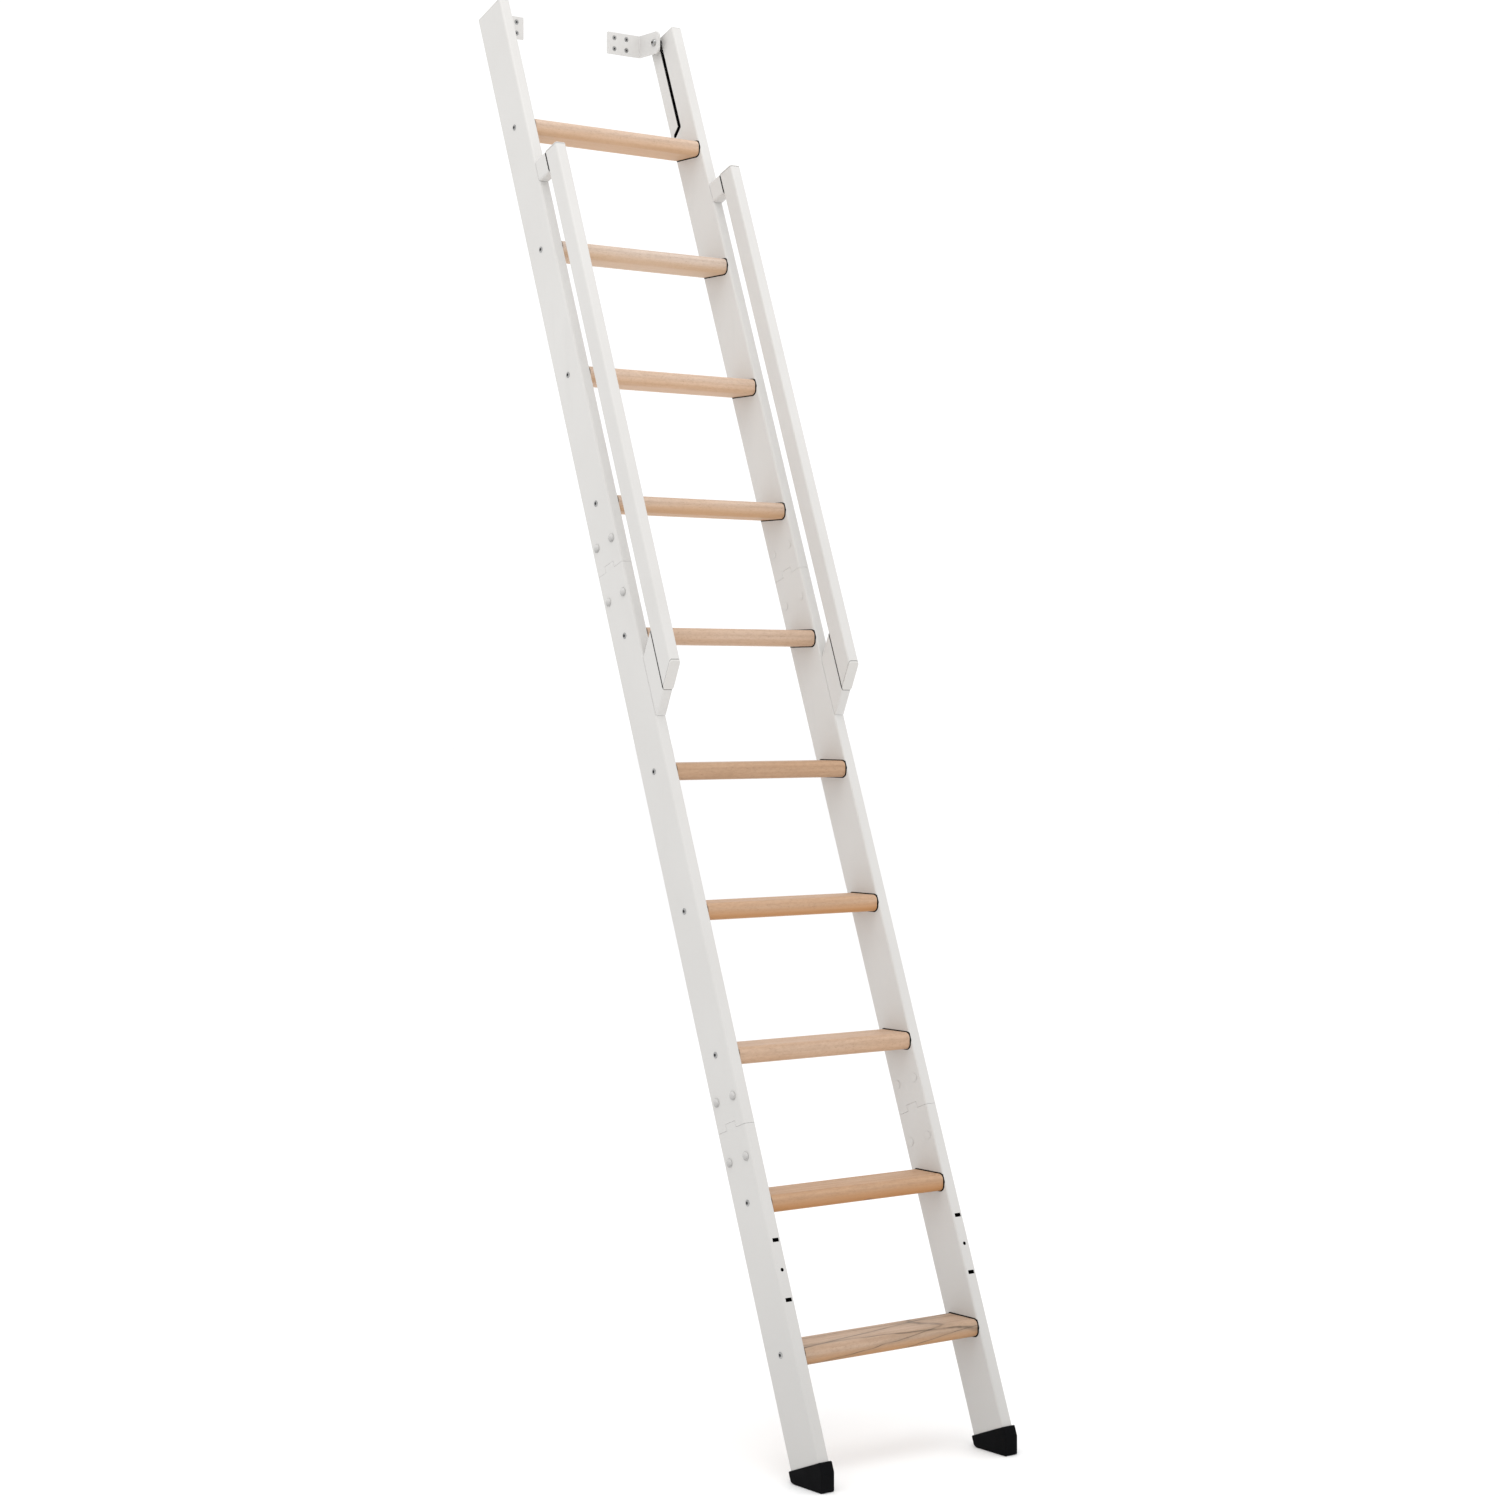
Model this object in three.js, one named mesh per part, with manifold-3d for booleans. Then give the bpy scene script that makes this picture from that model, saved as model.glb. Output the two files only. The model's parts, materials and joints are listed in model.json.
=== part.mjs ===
// Leaning library ladder with two wall brackets.
// Millimetres, +Z up. The climber stands on the -Y side, the wall is on the +Y side.
// Origin: midway between the stiles, where the wall meets the floor.

import * as THREE from 'three';
import { mergeVertices } from 'three/addons/utils/BufferGeometryUtils.js';
import Module from 'manifold-3d';

// Ladder as a whole
const LEAN = THREE.MathUtils.degToRad(20.8);
const CLEAR_WIDTH = 368;
const TREAD_COUNT = 10;
const TREAD_PITCH = 250;
const FIRST_TREAD = 199;
const GAP = 0.3;

// Stiles: rectangular tube, each in three sections
const STILE_THICK = 22;
const STILE_DEEP = 80;
const STILE_WALL = 2;
const STILE_RADIUS = 4;
const STILE_BOTTOM = 7;
const STILE_TOP = 2698;
const CAP_PLATE = 1.8;
const SEAMS = [573, 1573];
const TAB_FRONT = 54;
const TAB_REAR = 28;
const TAB_HEIGHT = 11;

// Splices inside the stiles
const SPLICE_HALF = 80;
const BOLT_SPREAD = 51;
const BOLT_FRONT = 64;
const BOLT_REAR = 16;
const BOLT_SHANK = 8;
const BOLT_HEAD = 15.5;

// Treads
const TREAD_DEEP = 76;
const TREAD_THICK = 29;
const TREAD_NOSE = 10;
const TREAD_HEEL = 4;
const SCREW_LINE = 41;
const SCREW_HOLE = 6.4;

// Storage slot and pivot, measured on the stile
const SLOT_WIDTH = 8.6;
const SLOT_LINE = 33.5;
const PIN_AT = 2688;
const SLOT_BEND = 2506;
const SLOT_END = { v: 15.5, s: 2496.5 };
const PIN = 8;

// Wall brackets
const LEG_GAP = 10;
const PLATE = 4;
const PLATE_HIGH = 42;
const PLATE_REACH = 74;
const PLATE_BACK = 53;
const LEG_NOSE = 15;
const LEG_RADIUS = 10;
const WALL_HOLES = [30.5, 58.5];
const WALL_HOLE_RISE = 10.5;

// Handrails
const RAIL_REAR = 115;
const RAIL_DEEP = 38;
const RAIL_TOP = 2358;
const RAIL_STUB = 40;
const MITRE_AT_STILE = 1286;
const MITRE_STUB = 78;

// Small features on the front of the bottom sections
const FRONT_SLOTS = [280, 378];
const FRONT_HOLE = 329;

// Boots
const BOOT_RIM = 20;
const BOOT_WALL = 2.5;
const BOOT_FRONT = 83.5;
const BOOT_TOE = 72.5;

const WHITE = { color: 0xe9e8e5, roughness: 0.5, metalness: 0 };
const PLASTIC = { color: 0xe4e3e0, roughness: 0.6, metalness: 0 };
const WOOD = { color: 0xd9b48c, roughness: 0.55, metalness: 0 };
const RUBBER = { color: 0x161618, roughness: 0.85, metalness: 0 };
const ZINC = { color: 0xb4b6b8, roughness: 0.35, metalness: 1 };

const wasm = await Module();
wasm.setup();

const model = new THREE.Group();
const assembly = new THREE.Group();
model.add(assembly);

// ---------- solids ----------

function solid(geometry) {
  const bare = new THREE.BufferGeometry();
  bare.setAttribute('position', geometry.getAttribute('position').clone());
  if (geometry.index) {
    bare.setIndex(geometry.index.clone());
  }
  const merged = mergeVertices(bare, 1e-4);
  return new wasm.Manifold(new wasm.Mesh({
    numProp: 3,
    vertProperties: new Float32Array(merged.getAttribute('position').array),
    triVerts: new Uint32Array(merged.index.array),
  }));
}

function geometryOf(body) {
  const mesh = body.getMesh();
  const geometry = new THREE.BufferGeometry();
  geometry.setAttribute('position', new THREE.BufferAttribute(new Float32Array(mesh.vertProperties), 3));
  geometry.setIndex(new THREE.BufferAttribute(new Uint32Array(mesh.triVerts), 1));
  const flat = geometry.toNonIndexed();
  flat.computeVertexNormals();
  return flat;
}

function addPart(name, body, finish) {
  const mesh = new THREE.Mesh(geometryOf(body), new THREE.MeshStandardMaterial(finish));
  mesh.name = name;
  assembly.add(mesh);
}

function join(bodies) {
  return bodies.reduce((all, body) => all.add(body));
}

function cut(body, cutters) {
  return cutters.reduce((left, cutter) => left.subtract(cutter), body);
}

// ---------- outlines ----------

function roundedRect(width, height, radius) {
  const x = width / 2;
  const y = height / 2;
  const shape = new THREE.Shape();
  shape.moveTo(-x + radius, -y);
  shape.lineTo(x - radius, -y);
  shape.absarc(x - radius, -y + radius, radius, -Math.PI / 2, 0, false);
  shape.lineTo(x, y - radius);
  shape.absarc(x - radius, y - radius, radius, 0, Math.PI / 2, false);
  shape.lineTo(-x + radius, y);
  shape.absarc(-x + radius, y - radius, radius, Math.PI / 2, Math.PI, false);
  shape.lineTo(-x, -y + radius);
  shape.absarc(-x + radius, -y + radius, radius, Math.PI, Math.PI * 1.5, false);
  return shape;
}

function polygon(points) {
  return new THREE.Shape(points.map(([x, y]) => new THREE.Vector2(x, y)));
}

function extrude(shape, length, curveSegments = 2) {
  return new THREE.ExtrudeGeometry(shape, { depth: length, bevelEnabled: false, curveSegments });
}

// ---------- stile frame ----------
// x is sideways, v forward from the stile's rear edge, s up the stile; v = s = 0 touches the floor.

function fromStile(geometry) {
  return geometry.rotateX(-LEAN);
}

function stilePoint(x, v, s) {
  return new THREE.Vector3(x, -v, s).applyAxisAngle(new THREE.Vector3(1, 0, 0), -LEAN);
}

// Rounded bar running up the stile from s0 to s1, centred on (x, v).
function bar(x, v, width, depth, radius, s0, s1) {
  const geometry = extrude(roundedRect(width, depth, radius), s1 - s0);
  return solid(fromStile(geometry.translate(x, -v, s0)));
}

// Plain block given by its limits in the stile frame.
function block(x0, x1, v0, v1, s0, s1) {
  const geometry = new THREE.BoxGeometry(x1 - x0, v1 - v0, s1 - s0);
  return solid(fromStile(geometry.translate((x0 + x1) / 2, -(v0 + v1) / 2, (s0 + s1) / 2)));
}

// Flat plate with an outline of (v, s) points, from x0 to x1.
function sidePlate(points, x0, x1) {
  const geometry = extrude(polygon(points), x1 - x0);
  const axes = new THREE.Matrix4().makeBasis(
    new THREE.Vector3(0, -1, 0),
    new THREE.Vector3(0, 0, 1),
    new THREE.Vector3(-1, 0, 0),
  );
  return solid(fromStile(geometry.applyMatrix4(axes).translate(x1, 0, 0)));
}

// Round body along X, given by (x, radius) pairs that start and end on the axis.
function turned(profile, v, s, sides = 16) {
  const points = profile.map(([x, radius]) => new THREE.Vector2(radius, x));
  const geometry = new THREE.LatheGeometry(points, sides).rotateZ(-Math.PI / 2);
  return solid(fromStile(geometry.translate(0, -v, s)));
}

function rod(x0, x1, v, s, diameter, sides = 16) {
  return turned([[x0, 0], [x0, diameter / 2], [x1, diameter / 2], [x1, 0]], v, s, sides);
}

// Mirror a list of x limits for the left (-1) or right (+1) side, in rising order.
function sided(side, inner, outer) {
  return side > 0 ? [inner, outer] : [-outer, -inner];
}

const INNER_FACE = CLEAR_WIDTH / 2;
const OUTER_FACE = INNER_FACE + STILE_THICK;
const STILE_MID = INNER_FACE + STILE_THICK / 2;
const SIDES = [['left', -1], ['right', 1]];

function treadAt(index) {
  return FIRST_TREAD + TREAD_PITCH * (TREAD_COUNT - index);
}

// ---------- stiles ----------

function stileTube(side, s0, s1) {
  const x = side * STILE_MID;
  const middle = STILE_DEEP / 2;
  const outside = bar(x, middle, STILE_THICK, STILE_DEEP, STILE_RADIUS, s0, s1);
  const inside = bar(
    x,
    middle,
    STILE_THICK - 2 * STILE_WALL,
    STILE_DEEP - 2 * STILE_WALL,
    STILE_RADIUS - STILE_WALL,
    s0 - 1,
    s1 + 1,
  );
  return outside.subtract(inside);
}

// Steps the lower end so that it drops over the tab of the section below.
function notchedBottom(tube, side, seam) {
  const [x0, x1] = sided(side, INNER_FACE - 1, OUTER_FACE + 1);
  const notch = block(x0, x1, TAB_REAR - GAP, TAB_FRONT + GAP, seam - 5, seam + TAB_HEIGHT + GAP);
  return tube.subtract(notch);
}

// Leaves one wide tab standing at the upper end.
function tabbedTop(tube, side, seam) {
  const [x0, x1] = sided(side, INNER_FACE - 1, OUTER_FACE + 1);
  return cut(tube, [
    block(x0, x1, -5, TAB_REAR, seam, seam + TAB_HEIGHT + 5),
    block(x0, x1, TAB_FRONT, STILE_DEEP + 5, seam, seam + TAB_HEIGHT + 5),
  ]);
}

function treadScrewHoles(side, first, last) {
  const holes = [];
  for (let index = first; index <= last; index += 1) {
    const [x0, x1] = sided(side, INNER_FACE - 1, OUTER_FACE + 1);
    holes.push(rod(x0, x1, SCREW_LINE, treadAt(index), SCREW_HOLE, 10));
  }
  return holes;
}

function boltPlaces(seam) {
  return [
    ['upper_front', BOLT_FRONT, seam + BOLT_SPREAD],
    ['upper_rear', BOLT_REAR, seam + BOLT_SPREAD],
    ['lower_front', BOLT_FRONT, seam - BOLT_SPREAD],
    ['lower_rear', BOLT_REAR, seam - BOLT_SPREAD],
  ];
}

function spliceHoles(side, seam) {
  const [x0, x1] = sided(side, INNER_FACE - 1, OUTER_FACE + 1);
  return boltPlaces(seam).map(([, v, s]) => rod(x0, x1, v, s, BOLT_SHANK + 2 * GAP, 10));
}

// Straight run for the pivot pin with a short hook towards the rear at its lower end.
function storageSlot(side) {
  const [x0, x1] = sided(side, INNER_FACE - 1, INNER_FACE + STILE_WALL + 1);
  const half = SLOT_WIDTH / 2;
  const run = block(x0, x1, SLOT_LINE - half, SLOT_LINE + half, SLOT_BEND, PIN_AT);
  const dv = SLOT_END.v - SLOT_LINE;
  const ds = SLOT_END.s - SLOT_BEND;
  const length = Math.hypot(dv, ds);
  const nv = (-ds / length) * half;
  const ns = (dv / length) * half;
  const hook = sidePlate([
    [SLOT_LINE + nv, SLOT_BEND + ns],
    [SLOT_LINE - nv, SLOT_BEND - ns],
    [SLOT_END.v - nv, SLOT_END.s - ns],
    [SLOT_END.v + nv, SLOT_END.s + ns],
  ], x0, x1);
  return [
    run,
    hook,
    rod(x0, x1, SLOT_LINE, PIN_AT, SLOT_WIDTH),
    rod(x0, x1, SLOT_LINE, SLOT_BEND, SLOT_WIDTH),
    rod(x0, x1, SLOT_END.v, SLOT_END.s, SLOT_WIDTH),
  ];
}

function frontSlots(side) {
  const x = side * STILE_MID;
  const deep = [STILE_DEEP - STILE_WALL - 1, STILE_DEEP + 1];
  const slots = FRONT_SLOTS.map((s) => block(x - 5.5, x + 5.5, deep[0], deep[1], s - 2.5, s + 2.5));
  const hole = new THREE.CylinderGeometry(2.5, 2.5, STILE_WALL + 2, 10);
  hole.translate(x, -(STILE_DEEP - STILE_WALL / 2), FRONT_HOLE);
  return [...slots, solid(fromStile(hole))];
}

function addStile(label, side) {
  const [low, high] = SEAMS;
  const bottom = cut(tabbedTop(stileTube(side, STILE_BOTTOM, low + TAB_HEIGHT), side, low), [
    ...spliceHoles(side, low),
    ...treadScrewHoles(side, 9, 10),
    ...frontSlots(side),
  ]);
  const middleTube = notchedBottom(stileTube(side, low + GAP, high + TAB_HEIGHT), side, low);
  const middle = cut(tabbedTop(middleTube, side, high), [
    ...spliceHoles(side, low),
    ...spliceHoles(side, high),
    ...treadScrewHoles(side, 5, 8),
  ]);
  const topTube = stileTube(side, high + GAP, STILE_TOP - CAP_PLATE - GAP);
  const top = cut(notchedBottom(topTube, side, high), [
    ...spliceHoles(side, high),
    ...treadScrewHoles(side, 1, 4),
    ...storageSlot(side),
  ]);
  addPart(`stile_${label}_bottom`, bottom, WHITE);
  addPart(`stile_${label}_middle`, middle, WHITE);
  addPart(`stile_${label}_top`, top, WHITE);
}

// Plug in the top of a stile; its two feet straddle the pivot nut.
function addStileCap(label, side) {
  const x = side * STILE_MID;
  const inside = STILE_THICK - 2 * STILE_WALL - 2 * GAP;
  const s1 = STILE_TOP - CAP_PLATE;
  const plate = bar(x, STILE_DEEP / 2, STILE_THICK, STILE_DEEP, STILE_RADIUS, s1, STILE_TOP);
  const feet = [[3, 21], [49, 77]].map(([v0, v1]) => (
    bar(x, (v0 + v1) / 2, inside, v1 - v0, 1.5, s1 - 12, s1 + 0.5)
  ));
  addPart(`stile_cap_${label}`, join([plate, ...feet]), PLASTIC);
}

// ---------- splices ----------

function addSplice(label, side, level, seam) {
  const x = side * STILE_MID;
  const wide = STILE_THICK - 2 * STILE_WALL - 2 * GAP;
  const deep = STILE_DEEP - 2 * STILE_WALL - 2 * GAP;
  const s0 = seam - SPLICE_HALF;
  const s1 = seam + SPLICE_HALF;
  const outside = bar(x, STILE_DEEP / 2, wide, deep, 1.8, s0, s1);
  const inside = bar(x, STILE_DEEP / 2, wide - 5, deep - 5, 1, s0 - 1, s1 + 1);
  addPart(`splice_${label}_${level}`, cut(outside.subtract(inside), spliceHoles(side, seam)), ZINC);
  for (const [place, v, s] of boltPlaces(seam)) {
    addPart(`splice_bolt_${label}_${level}_${place}`, spliceBolt(side, v, s), ZINC);
  }
}

// Domed head outside, shank through both walls, flat closing head inside.
function spliceBolt(side, v, s) {
  const head = BOLT_HEAD / 2;
  const shank = BOLT_SHANK / 2;
  const base = OUTER_FACE + GAP;
  const profile = [
    [INNER_FACE - GAP - 1, 0],
    [INNER_FACE - GAP - 1, head],
    [INNER_FACE - GAP, head],
    [INNER_FACE - GAP, shank],
    [base, shank],
    [base, head],
    [base + 1.8, head - 1],
    [base + 3.6, head - 4.5],
    [base + 3.6, 0],
  ];
  const body = turned(profile, v, s, 12);
  return side > 0 ? body : body.mirror([1, 0, 0]);
}

// ---------- treads ----------

function treadOutline() {
  const y = TREAD_DEEP / 2;
  const z = TREAD_THICK / 2;
  const shape = new THREE.Shape();
  shape.moveTo(-y + TREAD_NOSE, -z);
  shape.lineTo(y - TREAD_HEEL, -z);
  shape.absarc(y - TREAD_HEEL, -z + TREAD_HEEL, TREAD_HEEL, -Math.PI / 2, 0, false);
  shape.lineTo(y, z - TREAD_HEEL);
  shape.absarc(y - TREAD_HEEL, z - TREAD_HEEL, TREAD_HEEL, 0, Math.PI / 2, false);
  shape.lineTo(-y + TREAD_NOSE, z);
  shape.absarc(-y + TREAD_NOSE, z - TREAD_NOSE, TREAD_NOSE, Math.PI / 2, Math.PI, false);
  shape.lineTo(-y, -z + TREAD_NOSE);
  shape.absarc(-y + TREAD_NOSE, -z + TREAD_NOSE, TREAD_NOSE, Math.PI, Math.PI * 1.5, false);
  return shape;
}

function addTread(index) {
  const length = CLEAR_WIDTH - 2 * GAP;
  const axes = new THREE.Matrix4().makeBasis(
    new THREE.Vector3(0, 1, 0),
    new THREE.Vector3(0, 0, 1),
    new THREE.Vector3(1, 0, 0),
  );
  const centre = stilePoint(0, SCREW_LINE, treadAt(index));
  const geometry = extrude(treadOutline(), length, 3).applyMatrix4(axes);
  geometry.translate(-length / 2, centre.y, centre.z);
  addPart(`tread_${String(index).padStart(2, '0')}`, solid(geometry), WOOD);
}

// ---------- wall brackets and pivots ----------

const PIVOT = stilePoint(0, SLOT_LINE, PIN_AT);
const LEG_OUT = INNER_FACE - LEG_GAP;
const LEG_IN = LEG_OUT - PLATE;

function levelRod(side, x0, x1, diameter, sides = 16) {
  const [a, b] = sided(side, x0, x1);
  const geometry = new THREE.CylinderGeometry(diameter / 2, diameter / 2, b - a, sides);
  return solid(geometry.rotateZ(Math.PI / 2).translate((a + b) / 2, PIVOT.y, PIVOT.z));
}

function bracketLeg(side) {
  const y0 = -LEG_NOSE;
  const y1 = PLATE_BACK;
  const z = PLATE_HIGH / 2;
  const shape = new THREE.Shape();
  shape.moveTo(y1, -z);
  shape.lineTo(y1, z);
  shape.lineTo(y0 + LEG_RADIUS, z);
  shape.absarc(y0 + LEG_RADIUS, z - LEG_RADIUS, LEG_RADIUS, Math.PI / 2, Math.PI, false);
  shape.lineTo(y0, -z + LEG_RADIUS);
  shape.absarc(y0 + LEG_RADIUS, -z + LEG_RADIUS, LEG_RADIUS, Math.PI, Math.PI * 1.5, false);
  const axes = new THREE.Matrix4().makeBasis(
    new THREE.Vector3(0, 1, 0),
    new THREE.Vector3(0, 0, 1),
    new THREE.Vector3(1, 0, 0),
  );
  const [x0] = sided(side, LEG_IN, LEG_OUT);
  return solid(extrude(shape, PLATE, 3).applyMatrix4(axes).translate(x0, PIVOT.y, PIVOT.z));
}

function wallHole(side, inset, rise) {
  const profile = [[0, 0], [0, 2.7], [1.6, 2.7], [4.2, 5.3], [6, 5.3], [6, 0]];
  const points = profile.map(([y, radius]) => new THREE.Vector2(radius, y));
  const geometry = new THREE.LatheGeometry(points, 14);
  geometry.rotateX(Math.PI).translate(side * (LEG_IN - inset), PIVOT.y + PLATE_BACK + 0.6, PIVOT.z + rise);
  return solid(geometry);
}

function addBracket(label, side) {
  const [x0, x1] = sided(side, LEG_IN - PLATE_REACH, LEG_OUT);
  const plate = new THREE.BoxGeometry(x1 - x0, PLATE, PLATE_HIGH);
  plate.translate((x0 + x1) / 2, PIVOT.y + PLATE_BACK - PLATE / 2, PIVOT.z);
  const holes = [];
  for (const inset of WALL_HOLES) {
    holes.push(wallHole(side, inset, WALL_HOLE_RISE));
    holes.push(wallHole(side, inset, -WALL_HOLE_RISE));
  }
  const pinHole = levelRod(side, LEG_IN - 1, LEG_OUT + 1, PIN + 2 * GAP);
  addPart(`wall_bracket_${label}`, cut(join([solid(plate), bracketLeg(side)]), [...holes, pinHole]), WHITE);
}

// Button-head bolt from inside the bracket, through the slot, to a nut in the stile.
function addPivot(label, side) {
  const head = 7;
  const x0 = LEG_IN - GAP;
  const threadEnd = INNER_FACE + STILE_WALL + GAP + 8;
  const profile = [
    [x0 - 4.4, 0],
    [x0 - 4.4, head - 4],
    [x0 - 3.2, head - 1.6],
    [x0 - 1.2, head],
    [x0, head],
    [x0, PIN / 2],
    [threadEnd, PIN / 2],
    [threadEnd, 0],
  ];
  const bolt = turned(profile, SLOT_LINE, PIN_AT);
  addPart(`pivot_bolt_${label}`, side > 0 ? bolt : bolt.mirror([1, 0, 0]), ZINC);
  const [a, b] = sided(side, LEG_OUT + GAP, INNER_FACE - GAP);
  const spacer = rod(a, b, SLOT_LINE, PIN_AT, 14)
    .subtract(rod(a - 1, b + 1, SLOT_LINE, PIN_AT, PIN + 2 * GAP));
  addPart(`pivot_spacer_${label}`, spacer, ZINC);
  const [c, d] = sided(side, INNER_FACE + STILE_WALL + GAP, INNER_FACE + STILE_WALL + GAP + 6);
  const nut = rod(c, d, SLOT_LINE, PIN_AT, 14.4, 6)
    .subtract(rod(c - 1, d + 1, SLOT_LINE, PIN_AT, PIN + 2 * GAP));
  addPart(`pivot_nut_${label}`, nut, ZINC);
}

// ---------- handrails ----------

const RAIL_FRONT = RAIL_REAR + RAIL_DEEP;
const RAIL_MID = (RAIL_REAR + RAIL_FRONT) / 2;

function mitre(v) {
  return MITRE_AT_STILE + v - STILE_DEEP;
}

// Everything below the mitred line, lowered by drop.
function belowMitre(side, drop) {
  const [x0, x1] = sided(side, INNER_FACE - 5, OUTER_FACE + 5);
  return sidePlate([
    [0, mitre(0) - drop],
    [0, mitre(0) - 400],
    [300, mitre(0) - 400],
    [300, mitre(300) - drop],
  ], x0, x1);
}

function addHandrail(label, side) {
  const x = side * STILE_MID;
  const low = mitre(RAIL_REAR) - 40;
  const high = RAIL_TOP - CAP_PLATE - GAP;
  const outside = bar(x, RAIL_MID, STILE_THICK, RAIL_DEEP, STILE_RADIUS, low, high);
  const inside = bar(
    x,
    RAIL_MID,
    STILE_THICK - 2 * STILE_WALL,
    RAIL_DEEP - 2 * STILE_WALL,
    STILE_RADIUS - STILE_WALL,
    low - 1,
    high + 1,
  );
  const rail = outside.subtract(inside).subtract(belowMitre(side, -(CAP_PLATE * Math.SQRT2 + GAP)));
  addPart(`handrail_${label}`, rail, WHITE);
}

function addRailCaps(label, side) {
  const x = side * STILE_MID;
  const thin = STILE_THICK - 2 * STILE_WALL - 2 * GAP;
  const deep = RAIL_DEEP - 2 * STILE_WALL - 2 * GAP;
  const s1 = RAIL_TOP - CAP_PLATE;
  const plate = bar(x, RAIL_MID, STILE_THICK, RAIL_DEEP, STILE_RADIUS, s1, RAIL_TOP);
  const plug = bar(x, RAIL_MID, thin, deep, 1.5, s1 - 14, s1 + 0.5);
  addPart(`handrail_cap_top_${label}`, plate.add(plug), PLASTIC);
  const low = mitre(RAIL_REAR) - 40;
  const skin = bar(x, RAIL_MID, STILE_THICK, RAIL_DEEP, STILE_RADIUS, low, mitre(RAIL_FRONT) + 20)
    .subtract(belowMitre(side, 0))
    .intersect(belowMitre(side, -CAP_PLATE * Math.SQRT2));
  const foot = bar(x, RAIL_MID, thin, deep, 1.5, low, mitre(RAIL_FRONT) + 20)
    .subtract(belowMitre(side, -CAP_PLATE))
    .intersect(belowMitre(side, -18));
  addPart(`handrail_cap_low_${label}`, skin.add(foot), PLASTIC);
}

function addUpperStandoff(label, side) {
  const v0 = STILE_DEEP + GAP;
  const v1 = RAIL_REAR - GAP;
  const place = (geometry) => fromStile(
    geometry.rotateX(Math.PI / 2).translate(side * STILE_MID, 0, RAIL_TOP - RAIL_STUB / 2),
  );
  const outer = extrude(roundedRect(STILE_THICK, RAIL_STUB, STILE_RADIUS), v1 - v0).translate(0, 0, v0);
  const inner = extrude(
    roundedRect(STILE_THICK - 2 * STILE_WALL, RAIL_STUB - 2 * STILE_WALL, STILE_RADIUS - STILE_WALL),
    v1 - v0 + 2,
  ).translate(0, 0, v0 - 1);
  addPart(`handrail_standoff_top_${label}`, solid(place(outer)).subtract(solid(place(inner))), WHITE);
}

// Short tube rising at 45 degrees from the stile to the handrail.
function addLowerStandoff(label, side) {
  const x = side * STILE_MID;
  const v0 = STILE_DEEP + GAP;
  const v1 = RAIL_REAR - GAP;
  const middle = MITRE_AT_STILE + (MITRE_STUB / 2) * Math.SQRT2;
  const tube = (width, height, radius) => {
    const geometry = extrude(roundedRect(width, height, radius), 200).translate(0, 0, -100);
    return solid(fromStile(geometry.rotateX(Math.PI / 4).translate(x, -STILE_DEEP, middle)));
  };
  const outer = tube(STILE_THICK, MITRE_STUB, STILE_RADIUS);
  const inner = tube(STILE_THICK - 2 * STILE_WALL, MITRE_STUB - 2 * STILE_WALL, STILE_RADIUS - STILE_WALL);
  const slab = block(x - 20, x + 20, v0, v1, middle - 150, middle + 150);
  addPart(`handrail_standoff_low_${label}`, outer.subtract(inner).intersect(slab), WHITE);
}

// ---------- boots ----------

// Height on the stile at which the floor is met, for a given distance from the rear edge.
function floorAt(v) {
  return -v * Math.tan(LEAN);
}

function addBoot(label, side) {
  const [x0, x1] = sided(side, INNER_FACE - BOOT_WALL, OUTER_FACE + BOOT_WALL);
  const facet = (BOOT_FRONT - BOOT_TOE) / Math.tan(LEAN);
  const body = sidePlate([
    [-BOOT_WALL, BOOT_RIM],
    [-BOOT_WALL, floorAt(-BOOT_WALL) + 3],
    [2, floorAt(2)],
    [BOOT_TOE, floorAt(BOOT_TOE)],
    [BOOT_FRONT, floorAt(BOOT_TOE) + facet],
    [BOOT_FRONT, BOOT_RIM],
  ], x0, x1);
  const envelope = bar(
    side * STILE_MID,
    (BOOT_FRONT - BOOT_WALL) / 2,
    STILE_THICK + 2 * BOOT_WALL,
    BOOT_FRONT + BOOT_WALL,
    STILE_RADIUS,
    -60,
    BOOT_RIM,
  );
  const socket = bar(
    side * STILE_MID,
    STILE_DEEP / 2,
    STILE_THICK + 2 * GAP,
    STILE_DEEP + 2 * GAP,
    STILE_RADIUS,
    STILE_BOTTOM - GAP,
    BOOT_RIM + 5,
  );
  addPart(`boot_${label}`, body.intersect(envelope).subtract(socket), RUBBER);
}

// ---------- assembly ----------

for (const [label, side] of SIDES) {
  addStile(label, side);
  addStileCap(label, side);
  addSplice(label, side, 'lower', SEAMS[0]);
  addSplice(label, side, 'upper', SEAMS[1]);
  addHandrail(label, side);
  addRailCaps(label, side);
  addUpperStandoff(label, side);
  addLowerStandoff(label, side);
  addBoot(label, side);
  addBracket(label, side);
  addPivot(label, side);
}
for (let index = 1; index <= TREAD_COUNT; index += 1) {
  addTread(index);
}
assembly.position.y = -(PIVOT.y + PLATE_BACK);

export default model;
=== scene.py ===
import json
import math

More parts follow.
